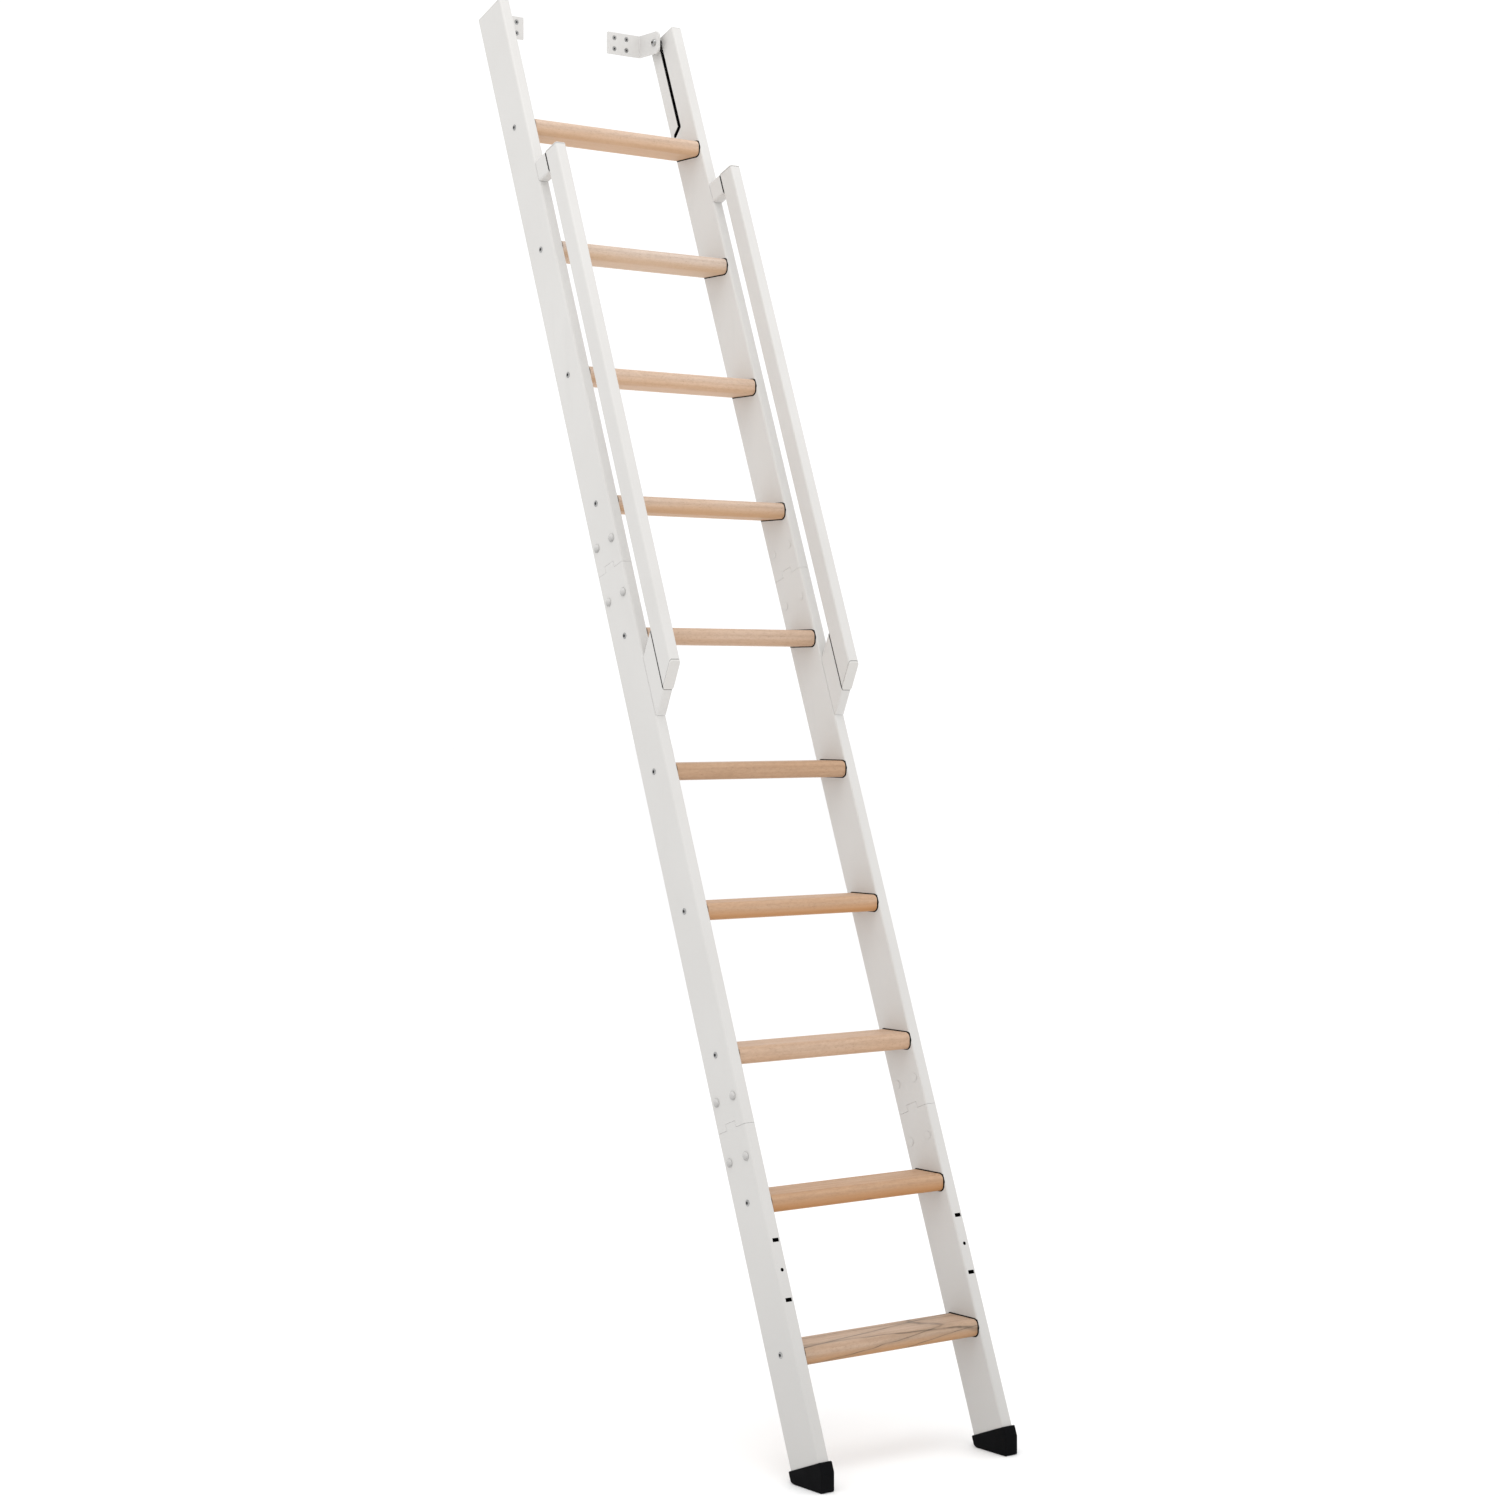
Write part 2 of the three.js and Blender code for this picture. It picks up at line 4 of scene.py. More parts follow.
import bmesh
import bpy
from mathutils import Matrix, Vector


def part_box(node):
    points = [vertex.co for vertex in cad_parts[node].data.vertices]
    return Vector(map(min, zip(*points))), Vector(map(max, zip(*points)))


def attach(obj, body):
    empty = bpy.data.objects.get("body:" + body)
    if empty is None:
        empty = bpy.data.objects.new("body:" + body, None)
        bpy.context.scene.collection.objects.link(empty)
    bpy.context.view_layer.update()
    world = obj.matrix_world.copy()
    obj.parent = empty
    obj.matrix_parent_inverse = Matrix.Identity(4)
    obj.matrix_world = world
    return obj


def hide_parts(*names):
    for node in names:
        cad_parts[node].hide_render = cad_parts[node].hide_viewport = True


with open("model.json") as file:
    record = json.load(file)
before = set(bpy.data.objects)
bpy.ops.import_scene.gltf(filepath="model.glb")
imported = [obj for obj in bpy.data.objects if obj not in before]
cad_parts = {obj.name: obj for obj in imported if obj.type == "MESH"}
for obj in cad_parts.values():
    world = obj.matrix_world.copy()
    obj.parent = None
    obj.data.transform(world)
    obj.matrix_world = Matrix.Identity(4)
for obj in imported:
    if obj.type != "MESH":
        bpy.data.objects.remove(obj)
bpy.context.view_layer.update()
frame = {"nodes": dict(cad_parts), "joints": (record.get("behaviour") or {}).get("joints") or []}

MM = 0.001
SIDES = (("left", -1), ("right", 1))

# ---------- the stile frame: x sideways, v forward from the rear edge, s up the stile ----------
# Sizes are in millimetres, and at() turns a point of this frame into metres in the CAD frame.

joints = {j["name"]: j for j in frame["joints"]}
UP = Vector(joints["ladder_lift"]["axis"]).normalized()
FORWARD = Vector((0, -UP.z, UP.y))
PIVOT = Vector(joints["ladder_swing"]["pos_m"])
PIN_V, PIN_S = 33.5, 2688
ORIGIN = Vector((0, PIVOT.y, PIVOT.z)) - (FORWARD * PIN_V + UP * PIN_S) * MM
LEAN = math.atan2(UP.y, UP.z)

# Stiles: distance of the inner and outer face from the middle of the ladder, section, ends,
# thickness of the caps and their clearance, and the bevel on cut edges.
INNER, OUTER = 184, 206
MIDDLE = (INNER + OUTER) / 2
WIDTH, DEPTH, CORNER = 22, 80, 4
WALL = 2
FOOT, TOP = 7, 2698
CAP = 1.8
CAP_GAP = 0.1
EDGE = 0.35

# Seams between the sections: a tab stands up from the lower one, between shoulders. Each has
# four bolts, given as v and height over the seam.
SEAMS = {"lower": 573, "upper": 1573}
TAB_REAR, TAB_FRONT, TAB_HEIGHT = 28, 54, 11
SEAM_GAP = 0.4
BOLTS = ((64, 51), (16, 51), (64, -51), (16, -51))

# The slot that the pivot runs in, and the openings in the front wall near the foot.
SLOT_HALF = 4.5
SLOT_BEND, SLOT_END = (PIN_V, 2506), (15.5, 2496.5)
FRONT_SLOTS, FRONT_SLOT_HALF = (280, 378), (6.2, 3.2)
FRONT_HOLE, FRONT_HOLE_RADIUS = 329, 3.1
OPENING_DEPTH = 6

# Treads, counted from the top one down: heights, radii, the place of the screws, and how much
# wider and how deep the recess is that each end is let into.
TREADS, LOWEST_TREAD, PITCH = 10, 199, 250
NOSE_RADIUS, HEEL_RADIUS = 10, 4
TREAD_V = 41
POCKET, POCKET_DEPTH = 1.8, 1.2

# Handrails: rear and front edge, top end, and the height of the 45 degree cut where v is 0.
RAIL_REAR, RAIL_FRONT = 115, 153
RAIL_TOP = 2358
MITRE = 1206
PLUG_WIDTH, PLUG_CORNER = 17.2, 1.5


def at(x, v, s):
    """A point given in the stile frame, in millimetres."""
    return Vector((x * MM, 0, 0)) + ORIGIN + (FORWARD * v + UP * s) * MM


def tread_height(index):
    """Height of a tread screw up the stile."""
    return LOWEST_TREAD + PITCH * (TREADS - index)


# ---------- outlines ----------


def arc(cx, cy, radius, start, end, steps):
    """Points of an arc with both its ends; angles are in degrees."""
    angles = [math.radians(start + (end - start) * k / steps) for k in range(steps + 1)]
    return [(cx + radius * math.cos(a), cy + radius * math.sin(a)) for a in angles]


def rounded(width, height, radius, steps=6):
    """Points of a rounded rectangle about its centre, anticlockwise."""
    points = []
    for sx, sy, start in ((1, 1, 0), (-1, 1, 90), (-1, -1, 180), (1, -1, 270)):
        cx, cy = sx * (width / 2 - radius), sy * (height / 2 - radius)
        points += arc(cx, cy, radius, start, start + 90, steps)
    return points


def section(depth):
    """Outer and inner outline of a rectangular tube as wide as a stile."""
    outer = rounded(WIDTH, depth, CORNER, 7)
    inner = rounded(WIDTH - 2 * WALL, depth - 2 * WALL, CORNER - WALL, 7)
    return outer, inner


def tread_outline(index, grow=0.0):
    """Side view of a tread about its middle: round nose to the climber, small radius at the heel."""
    low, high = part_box(f"tread_{index:02d}")
    deep, thick = (high.y - low.y) / 2 / MM + grow, (high.z - low.z) / 2 / MM + grow
    nose, heel = NOSE_RADIUS + grow, HEEL_RADIUS + grow
    points = arc(deep - heel, heel - thick, heel, -90, 0, 5)
    points += arc(deep - heel, thick - heel, heel, 0, 90, 5)
    points += arc(nose - deep, thick - nose, nose, 90, 180, 10)
    points += arc(nose - deep, nose - thick, nose, 180, 270, 10)
    return points


def slot_outline():
    """The parking slot as one outline: straight run, bend, short hook to the rear."""
    half, bend, end = SLOT_HALF, SLOT_BEND, SLOT_END
    direction = math.degrees(math.atan2(end[1] - bend[1], end[0] - bend[0]))
    points = arc(PIN_V, PIN_S, half, 0, 180, 12)
    inside = math.radians(direction - 90)
    # inner corner, where the rear edge of the run meets the upper edge of the hook
    upper = (bend[0] + half * math.cos(inside), bend[1] + half * math.sin(inside))
    slope = math.tan(math.radians(direction))
    points.append((PIN_V - half, upper[1] + (PIN_V - half - upper[0]) * slope))
    points += arc(*end, half, direction - 90, direction + 90, 12)
    points += arc(*bend, half, direction + 90, 0, 10)
    return points


# ---------- mesh helpers ----------


def bridge(bm, a, b, index=0):
    """Joins two rings of corners by a band of faces in the given material."""
    for k in range(len(a)):
        j = (k + 1) % len(a)
        face = bm.faces.new((a[k], a[j], b[j], b[k]))
        face.material_index = index


def solid(rings):
    """A closed body through rings of points, each ring the same length."""
    bm = bmesh.new()
    loops = [[bm.verts.new(p) for p in ring] for ring in rings]
    for a, b in zip(loops, loops[1:]):
        bridge(bm, a, b)
    bm.faces.new(loops[0])
    bm.faces.new(loops[-1])
    bmesh.ops.recalc_face_normals(bm, faces=bm.faces)
    return bm


def hollow(outer, inner, rim=0):
    """A tube from two pairs of rings: the inside has the second material, the cut ends the one given."""
    bm = bmesh.new()
    outside = [[bm.verts.new(p) for p in ring] for ring in outer]
    inside = [[bm.verts.new(p) for p in ring] for ring in inner]
    bridge(bm, *outside)
    bridge(bm, *inside, 1)
    bridge(bm, outside[0], inside[0], rim)
    bridge(bm, outside[-1], inside[-1], rim)
    bmesh.ops.recalc_face_normals(bm, faces=bm.faces)
    return bm


def lathe(profile, centre, axis, steps=32):
    """A turned body: profile holds (distance along the axis, radius) in millimetres."""
    axis = Vector(axis).normalized()
    across = axis.orthogonal().normalized()
    other = axis.cross(across)
    turns = [2 * math.pi * k / steps for k in range(steps)]
    spokes = [across * math.cos(t) + other * math.sin(t) for t in turns]
    bm = bmesh.new()
    loops = []
    for along, radius in profile:
        base = Vector(centre) + axis * along * MM
        if radius > 0:
            loops.append([bm.verts.new(base + spoke * radius * MM) for spoke in spokes])
        else:
            loops.append([bm.verts.new(base)])
    for a, b in zip(loops, loops[1:]):
        for k in range(steps):
            j = (k + 1) % steps
            if len(a) == 1:
                bm.faces.new((a[0], b[j], b[k]))
            elif len(b) == 1:
                bm.faces.new((a[k], a[j], b[0]))
            else:
                bm.faces.new((a[k], a[j], b[j], b[k]))
    bmesh.ops.recalc_face_normals(bm, faces=bm.faces)
    return bm


def inked(bm, index=1):
    """The same body with every face in another material, so that a cut made with it shows that material."""
    for face in bm.faces:
        face.material_index = index
    return bm


def merged(*parts):
    """Several bodies as one mesh."""
    out = bmesh.new()
    for part in parts:
        mesh = bpy.data.meshes.new("part")
        part.to_mesh(mesh)
        part.free()
        out.from_mesh(mesh)
        bpy.data.meshes.remove(mesh)
    return out


def as_object(bm, name):
    """The mesh as an object in the scene; bm is used up."""
    mesh = bpy.data.meshes.new(name)
    bm.to_mesh(mesh)
    bm.free()
    obj = bpy.data.objects.new(name, mesh)
    bpy.context.scene.collection.objects.link(obj)
    return obj


def carve(bm, *cutters):
    """bm less each cutter."""
    target = as_object(bm, "carved")
    tools = [as_object(c, "cutter") for c in cutters]
    for tool in tools:
        modifier = target.modifiers.new("cut", "BOOLEAN")
        modifier.operation = "DIFFERENCE"
        modifier.solver = "EXACT"
        modifier.object = tool
    graph = bpy.context.evaluated_depsgraph_get()
    mesh = bpy.data.meshes.new_from_object(target.evaluated_get(graph))
    out = bmesh.new()
    out.from_mesh(mesh)
    for obj in (target, *tools):
        bpy.data.objects.remove(obj)
    bpy.data.meshes.remove(mesh)
    return out


def soften(bm, width, angle=50, steps=2):
    """Rounds every edge sharper than the angle by a small bevel."""
    bmesh.ops.remove_doubles(bm, verts=bm.verts, dist=1e-6)
    sharp = [
        e
        for e in bm.edges
        if len(e.link_faces) == 2 and math.degrees(e.calc_face_angle(0)) > angle
    ]
    bmesh.ops.bevel(
        bm,
        geom=sharp,
        offset=width * MM,
        offset_type="OFFSET",
        segments=steps,
        profile=0.5,
        affect="EDGES",
        clamp_overlap=True,
    )
    return bm


def piece(bm, name, body, materials, slot, *nodes):
    """The finished piece: smooth shading with crisp edges, riding on its body."""
    obj = as_object(bm, name)
    mesh = obj.data
    for material in materials:
        mesh.materials.append(material)
    for polygon in mesh.polygons:
        polygon.use_smooth = True
    mesh.set_sharp_from_angle(angle=math.radians(38))
    normals = obj.modifiers.new("normals", "WEIGHTED_NORMAL")
    normals.keep_sharp = True
    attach(obj, body)
    if nodes:
        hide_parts(*nodes)


# ---------- materials ----------


class Shader:
    """A small wrapper that adds nodes and links their inputs by name or number."""

    def __init__(self, name):
        self.material = bpy.data.materials.new(name)
        self.material.use_nodes = True
        self.tree = self.material.node_tree
        self.surface = self.tree.nodes["Principled BSDF"]
        self.coords = self.add("ShaderNodeTexCoord").outputs["Object"]

    def add(self, kind, settings=None, **inputs):
        """A node with its settings; an input is named, or numbered as _0, _1, and takes a value or a link."""
        node = self.tree.nodes.new(kind)
        for key, value in (settings or {}).items():
            setattr(node, key, value)
        for key, value in inputs.items():
            socket = node.inputs[int(key[1:])] if key[0] == "_" else node.inputs[key.replace("_", " ")]
            if isinstance(value, bpy.types.NodeSocket):
                self.tree.links.new(value, socket)
            else:
                socket.default_value = value
        return node

    def moved(self, vector, location=(0, 0, 0), rotation=(0, 0, 0), scale=(1, 1, 1)):
        return self.add(
            "ShaderNodeMapping", Vector=vector, Location=location, Rotation=rotation, Scale=scale
        ).outputs[0]

    def noise(self, vector, scale, detail=2.0, roughness=0.5, distortion=0.0):
        return self.add(
            "ShaderNodeTexNoise",
            Vector=vector,
            Scale=scale,
            Detail=detail,
            Roughness=roughness,
            Distortion=distortion,
        ).outputs["Fac"]

    def span(self, value, low, high, to_low=0.0, to_high=1.0):
        """The value's range from low to high, mapped to another one and clamped."""
        return self.add(
            "ShaderNodeMapRange", _0=value, _1=low, _2=high, _3=to_low, _4=to_high
        ).outputs[0]

    def math(self, operation, a, b=0.0):
        return self.add("ShaderNodeMath", {"operation": operation}, _0=a, _1=b).outputs[0]

    def mix(self, factor, a, b):
        """From colour a to colour b by the factor."""
        node = self.add("ShaderNodeMix", {"data_type": "RGBA"}, _0=factor)
        for socket, value in ((node.inputs[6], a), (node.inputs[7], b)):
            if isinstance(value, bpy.types.NodeSocket):
                self.tree.links.new(value, socket)
            else:
                socket.default_value = (*value, 1)
        return node.outputs[2]

    def edge(self, radius, low, high):
        """1 along the rounded edges, 0 on the flats."""
        soft = self.add("ShaderNodeBevel", {"samples": 4}, Radius=radius).outputs[0]
        true = self.add("ShaderNodeNewGeometry").outputs["Normal"]
        dot = self.add("ShaderNodeVectorMath", {"operation": "DOT_PRODUCT"}, _0=soft, _1=true)
        return self.span(dot.outputs["Value"], high, low)

    def vein(self, vector, direction, offset, width, wobble):
        """1 where a wavering plane meets the surface, fading to 0 a width away."""
        level = self.add("ShaderNodeVectorMath", {"operation": "DOT_PRODUCT"}, _0=vector, _1=direction)
        level = self.math("ADD", level.outputs["Value"], wobble)
        return self.span(self.math("ABSOLUTE", self.math("SUBTRACT", level, offset)), width, 0)

    def height(self, vector):
        """The vector's upward part."""
        return self.add("ShaderNodeSeparateXYZ", Vector=vector).outputs[2]

    def bump(self, height, distance, strength=1.0, normal=None):
        node = self.add("ShaderNodeBump", Height=height, Distance=distance, Strength=strength)
        if normal is not None:
            self.tree.links.new(normal, node.inputs["Normal"])
        return node.outputs[0]

    def finish(self, color, roughness, normal, **fixed):
        """Links the surface's inputs, sets the uniform ones, and gives the material."""
        self.tree.links.new(color, self.surface.inputs["Base Color"])
        self.tree.links.new(roughness, self.surface.inputs["Roughness"])
        self.tree.links.new(normal, self.surface.inputs["Normal"])
        for key, value in fixed.items():
            self.surface.inputs[key.replace("_", " ")].default_value = value
        return self.material


def scaled(color, *factors):
    """The colour times one factor, or times one factor for each channel, at most white."""
    factors = factors * 3 if len(factors) == 1 else factors
    return tuple(min(1, c * k) for c, k in zip(color, factors))


def powder_coat(name, light, dark, gloss=0.46, under=0.0):
    """Fine orange-peel coat with painted shade that darkens it towards the feet in place of the light falling
    off; under, when set, paints shade on faces that look down.
    """
    g = Shader(name)
    cloud = g.noise(g.coords, 5, 4)
    smudge = g.noise(g.moved(g.coords, scale=(1, 1, 0.35)), 26, 5, 0.6, 0.4)
    peel = g.noise(g.coords, 420, 2)
    grain = g.noise(g.coords, 1900, 2)
    color = g.mix(g.span(cloud, 0.3, 0.7), dark, light)
    color = g.mix(g.span(smudge, 0.56, 0.78, 0, 0.3), color, scaled(dark, 0.93))
    color = g.mix(g.span(grain, 0.62, 0.8, 0, 0.10), color, scaled(dark, 0.8))
    height = g.height(g.coords)
    # painted shade: the coat darkens towards the floor, standing in for the light's falloff
    painted_falloff_shade = g.math("ADD", g.span(height, 1.9, 0.1, 0, 0.45), g.span(height, 0.45, 0.05, 0, 0.35))
    color = g.mix(painted_falloff_shade, color, scaled(dark, 0.76))
    # painted shade: faces that look down are darkened, as if the light came from above
    if under:
        normal_up_for_painted_shade = g.height(g.add("ShaderNodeNewGeometry").outputs["Normal"])
        color = g.mix(g.span(normal_up_for_painted_shade, 0.3, -0.75, 0, under), color, scaled(dark, 0.3))
    worn = g.math("MULTIPLY", g.edge(0.0022, 0.86, 0.995), g.span(smudge, 0.35, 0.65, 0.25, 1))
    color = g.mix(g.math("MULTIPLY", worn, 0.35), color, scaled(light, 1.08))
    matt = g.span(peel, 0.3, 0.7, gloss - 0.05, gloss + 0.06)
    rough = g.math("SUBTRACT", matt, g.math("MULTIPLY", worn, 0.06))
    normal = g.bump(grain, 0.00003, 0.5, g.bump(peel, 0.00012, 0.5))
    return g.finish(color, rough, normal, Specular_IOR_Level=0.42)


def beech(index, light, warmth, heart_and_shade_share, knot=None, veined=False):
    """Steamed beech: faint rings, long fibres, short ray flecks, and a warmer, darker lower half that is
    partly heartwood and partly painted shade.
    """
    g = Shader(f"beech_{index:02d}")
    low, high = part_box(f"tread_{index:02d}")
    here = g.moved(g.coords, location=tuple((low + high) / -2))
    turn = math.radians(0.5 + 1.1 * math.sin(index * 2.3))
    along = g.moved(
        here,
        location=(0.37 * index, 0.031 * math.sin(index * 1.7), 0.026 * math.cos(index * 2.9)),
        rotation=(0.4 * math.sin(index), turn, turn * 0.7),
        scale=(0.055, 1, 1),
    )
    sway = g.noise(along, 19, 3)
    rings = g.add(
        "ShaderNodeTexWave",
        {"wave_type": "RINGS", "rings_direction": "X", "wave_profile": "SIN"},
        Vector=g.moved(along, location=(0, 0.045, 0.09 + 0.012 * math.sin(index * 4.1))),
        Scale=34.0,
        Distortion=2.2,
        Detail=3.0,
        Detail_Scale=1.6,
    ).outputs["Fac"]
    fibre = g.noise(g.moved(along, scale=(0.55, 1, 1)), 950, 3, 0.6)
    coarse = g.noise(along, 150, 4, 0.6)
    fleck = g.noise(g.moved(here, location=(index, 0, 0), scale=(0.16, 1, 1)), 1150, 1)
    band = g.noise(g.moved(here, location=(index * 0.21, 0, 0), scale=(0.25, 1, 1)), 22, 2)
    mottle = g.noise(g.moved(here, location=(0, index, 0), scale=(0.4, 1, 1)), 260, 4, 0.7)

    base = (light, light * (0.88 - 0.19 * warmth), light * (0.79 - 0.31 * warmth))
    deep = scaled(base, 0.80, 0.74, 0.68)
    heart_and_shade_brown = scaled(base, 0.87, 0.65, 0.40)
    fleck_brown, knot_brown = (0.25, 0.14, 0.08), (0.19, 0.10, 0.055)
    color = g.mix(g.span(rings, 0.35, 0.95, 0, 0.38), base, deep)
    color = g.mix(g.span(coarse, 0.38, 0.72, 0, 0.45), color, deep)
    color = g.mix(g.span(band, 0.45, 0.7, 0, 0.4), color, scaled(base, 0.94, 0.86, 0.76))
    color = g.mix(g.span(mottle, 0.48, 0.72, 0, 0.34), color, scaled(deep, 0.72))
    color = g.mix(g.span(mottle, 0.45, 0.28, 0, 0.30), color, scaled(base, 1.12))
    color = g.mix(g.span(fibre, 0.5, 0.8, 0, 0.30), color, scaled(deep, 0.62))
    color = g.mix(g.span(fleck, 0.64, 0.73, 0, 0.45), color, fleck_brown)
    # painted shade and heartwood: the board's lower half turns warmer and darker
    sunk = g.math("ADD", g.span(g.height(here), 0.006, -0.009), g.span(sway, 0.3, 0.7, -0.3, 0.3))
    color = g.mix(g.math("MULTIPLY", g.span(sunk, 0.1, 1.0), heart_and_shade_share), color, heart_and_shade_brown)
    if veined:
        color = veins(g, here, coarse, color)
    if knot:
        spot = g.moved(g.moved(here, location=tuple(-c for c in knot)), scale=(70, 170, 330))
        ball = g.add("ShaderNodeTexGradient", {"gradient_type": "SPHERICAL"}, Vector=spot).outputs["Fac"]
        ragged = g.math("MULTIPLY", ball, g.span(fibre, 0.3, 0.7, 0.6, 1.5))
        color = g.mix(g.span(ragged, 0.1, 0.6, 0, 0.75), color, knot_brown)
    rough = g.span(coarse, 0.3, 0.7, 0.50, 0.64)
    normal = g.bump(fibre, 0.00006, 0.5, g.bump(rings, 0.00008, 0.35))
    return g.finish(color, rough, normal, Specular_IOR_Level=0.30)


def veins(g, here, coarse, color):
    """Mineral streaks: planes with a wavering level, each with a direction, offset, width and strength."""
    wobble = g.span(g.noise(g.moved(here, scale=(0.5, 1, 1)), 14, 3, 0.5), 0.3, 0.7, -0.003, 0.003)
    patch = g.span(g.noise(g.moved(here, scale=(0.6, 1, 1)), 60, 2), 0.34, 0.58, 0.4, 1)
    lines = (
        ((-0.187, 1, 0), 0.001, 0.0026, 1.0),
        ((0.05, 1, 0.3), -0.0265, 0.0020, 0.95),
        ((-0.127, 0, 1), -0.0144, 0.0009, 1.0),
        ((-0.115, 0, 1), 0.0037, 0.0012, 0.8),
        ((0.02, 1, 0), 0.021, 0.0016, 0.9),
    )
    line_brown, haze_brown, pore_brown = (0.045, 0.028, 0.017), (0.23, 0.17, 0.115), (0.22, 0.16, 0.115)
    for direction, offset, width, strength in lines:
        line = g.math("MULTIPLY", g.vein(here, direction, offset, width, wobble), patch)
        color = g.mix(g.math("MULTIPLY", line, strength), color, line_brown)
        haze = g.vein(here, direction, offset, width * 5, wobble)
        color = g.mix(g.math("MULTIPLY", haze, 0.24), color, haze_brown)
    return g.mix(g.span(coarse, 0.5, 0.62, 0, 0.14), color, pore_brown)


def rubber():
    """Black moulded rubber, a little dusty, and lighter grey along its edges, partly rubbing and partly a
    painted highlight.
    """
    g = Shader("boot_rubber")
    cloud = g.noise(g.coords, 45, 4)
    grain = g.noise(g.coords, 1500, 3)
    dust = g.noise(g.coords, 210, 4, 0.7)
    color = g.mix(g.span(cloud, 0.3, 0.7), (0.0022, 0.0023, 0.0027), (0.0040, 0.0041, 0.0047))
    color = g.mix(g.span(dust, 0.62, 0.82, 0, 0.18), color, (0.022, 0.022, 0.023))
    # painted highlight and rubbing: the edges turn grey
    color = g.mix(g.math("MULTIPLY", g.edge(0.0016, 0.80, 0.99), 0.5), color, (0.034, 0.034, 0.037))
    rough = g.span(grain, 0.3, 0.7, 0.56, 0.72)
    normal = g.bump(grain, 0.00008, 0.6, g.bump(cloud, 0.0002, 0.3))
    return g.finish(color, rough, normal, Specular_IOR_Level=0.04)


def metal(name, light, dark, roughness, metallic, scratch=0.25):
    """Plated or oxidised steel with a cloudy bloom and fine scratches."""
    g = Shader(name)
    bloom = g.noise(g.coords, 380, 4, 0.65)
    lines = g.noise(g.moved(g.coords, scale=(1, 0.08, 1)), 2600, 2)
    color = g.mix(g.span(bloom, 0.32, 0.68), dark, light)
    color = g.mix(g.span(lines, 0.62, 0.72, 0, scratch), color, scaled(dark, 0.6))
    rough = g.span(bloom, 0.3, 0.7, roughness - 0.06, roughness + 0.08)
    normal = g.bump(lines, 0.00003, 0.35, g.bump(bloom, 0.00005, 0.3))
    return g.finish(color, rough, normal, Metallic=metallic)


def painted_shade_inside():
    """The uncoated inside of the tubes, painted near black as the shade where hardly any light gets."""
    g = Shader("tube_inside_painted_shade")
    scale = g.noise(g.coords, 180, 5, 0.7)
    color = g.mix(g.span(scale, 0.35, 0.65), (0.010, 0.010, 0.011), (0.022, 0.021, 0.020))
    rough = g.span(scale, 0.3, 0.7, 0.7, 0.9)
    return g.finish(color, rough, g.bump(scale, 0.0001, 0.4), Specular_IOR_Level=0.1)


COAT = powder_coat("white_powder_coat", (0.655, 0.643, 0.625), (0.628, 0.615, 0.596))
BRACKET_COAT = powder_coat("bracket_powder_coat", (0.665, 0.655, 0.640), (0.640, 0.630, 0.615), 0.40)
CAP_PLASTIC = powder_coat("white_cap_plastic", (0.660, 0.645, 0.622), (0.635, 0.620, 0.596), 0.52)
# the last argument paints shade on the down-facing sides of the bolt domes
FASTENER = powder_coat("painted_fastener_coat", (0.62, 0.61, 0.595), (0.55, 0.54, 0.525), 0.26, 0.62)
# near-black painted shade for the tube insides, the cut openings and the tube ends at joints
INSIDE_PAINTED_SHADE = painted_shade_inside()
RUBBER = rubber()
ZINC = metal("bright_zinc", (0.44, 0.44, 0.435), (0.29, 0.29, 0.285), 0.30, 0.9)
STEEL = metal("dull_steel", (0.30, 0.30, 0.31), (0.17, 0.17, 0.18), 0.42, 0.8, 0.4)
# near black: painted shade in the screw sockets and cross recesses, and the pivot spacer's own dark colour
# with the shade round it
SHADE = metal("black_oxide_and_painted_shade", (0.030, 0.030, 0.032), (0.016, 0.016, 0.018), 0.5, 0.3, 0.1)

# ---------- stiles ----------


def bar(x, v, width, depth, radius, s0, s1, steps=6):
    """A rounded bar that runs up the stile."""
    outline = rounded(width, depth, radius, steps)
    return solid([[at(x + a, v + b, s) for a, b in outline] for s in (s0, s1)])


def box(x0, x1, v0, v1, s0, s1):
    """A plain block square to the stile."""
    corners = ((x0, v0), (x1, v0), (x1, v1), (x0, v1))
    return solid([[at(x, v, s) for x, v in corners] for s in (s0, s1)])


def rod(x0, x1, v, s, diameter):
    """A round rod that runs sideways."""
    half = diameter / 2
    profile = ((0, 0), (0, half), (x1 - x0, half), (x1 - x0, 0))
    return lathe(profile, at(x0, v, s), (1, 0, 0), 24)


def stile_tube(side, s0, s1):
    """One plain length of a stile."""
    x, v = side * MIDDLE, DEPTH / 2
    outer, inner = section(DEPTH)
    return hollow(
        [[at(x + a, v + b, s) for a, b in outer] for s in (s0, s1)],
        [[at(x + a, v + b, s) for a, b in inner] for s in (s0, s1)],
    )


def past_stile(side):
    """Sideways limits just past a stile."""
    past = 2
    return (INNER - past, OUTER + past) if side > 0 else (-OUTER - past, -INNER + past)


def past_inner_wall(side, outside, inside):
    """Sideways limits round the inner face: that far outside it, and that far into the stile."""
    if side > 0:
        return INNER - outside, INNER + inside
    return -INNER - inside, -INNER + outside


def stile_holes(side, seams, first, last):
    """Cutters for the splice bolts at these seams, and for the screws of these treads."""
    bolt_hole, screw_hole = 8.6, 6.4
    x0, x1 = past_stile(side)
    holes = [rod(x0, x1, v, seam + ds, bolt_hole) for seam in seams for v, ds in BOLTS]
    holes += [rod(x0, x1, TREAD_V, tread_height(i), screw_hole) for i in range(first, last + 1)]
    return holes


def notch(side, seam):
    """Cutter that lets the tab of the section below in."""
    x0, x1 = past_stile(side)
    return box(x0, x1, TAB_REAR - SEAM_GAP, TAB_FRONT + SEAM_GAP, seam - 6, seam + TAB_HEIGHT + SEAM_GAP)


